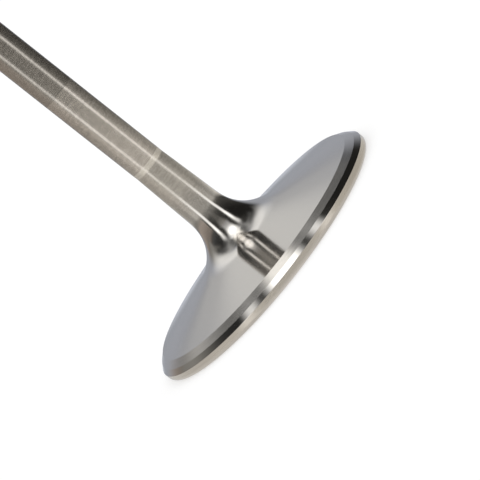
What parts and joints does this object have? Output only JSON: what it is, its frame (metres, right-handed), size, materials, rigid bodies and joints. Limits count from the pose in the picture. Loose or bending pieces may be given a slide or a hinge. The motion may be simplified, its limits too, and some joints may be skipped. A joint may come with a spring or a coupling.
{
  "type": "engine valve",
  "caption": "One-piece engine intake valve: thin disc head with a conical seat, curved neck and ground stem with a keeper groove.",
  "frame": {"origin": "centre of the flat combustion face of the head, on which the valve stands", "axes": "+Z along the stem's axis from the head to the tip; X and Y are equal, as the valve is round"},
  "size_m": [0.057, 0.057, 0.1325],
  "materials": {
    "steel": "ground stem, polished underhead and seat, satin turned margin and face"
  },
  "bodies": {
    "root": {"valve": "steel"}
  },
  "joints": []
}
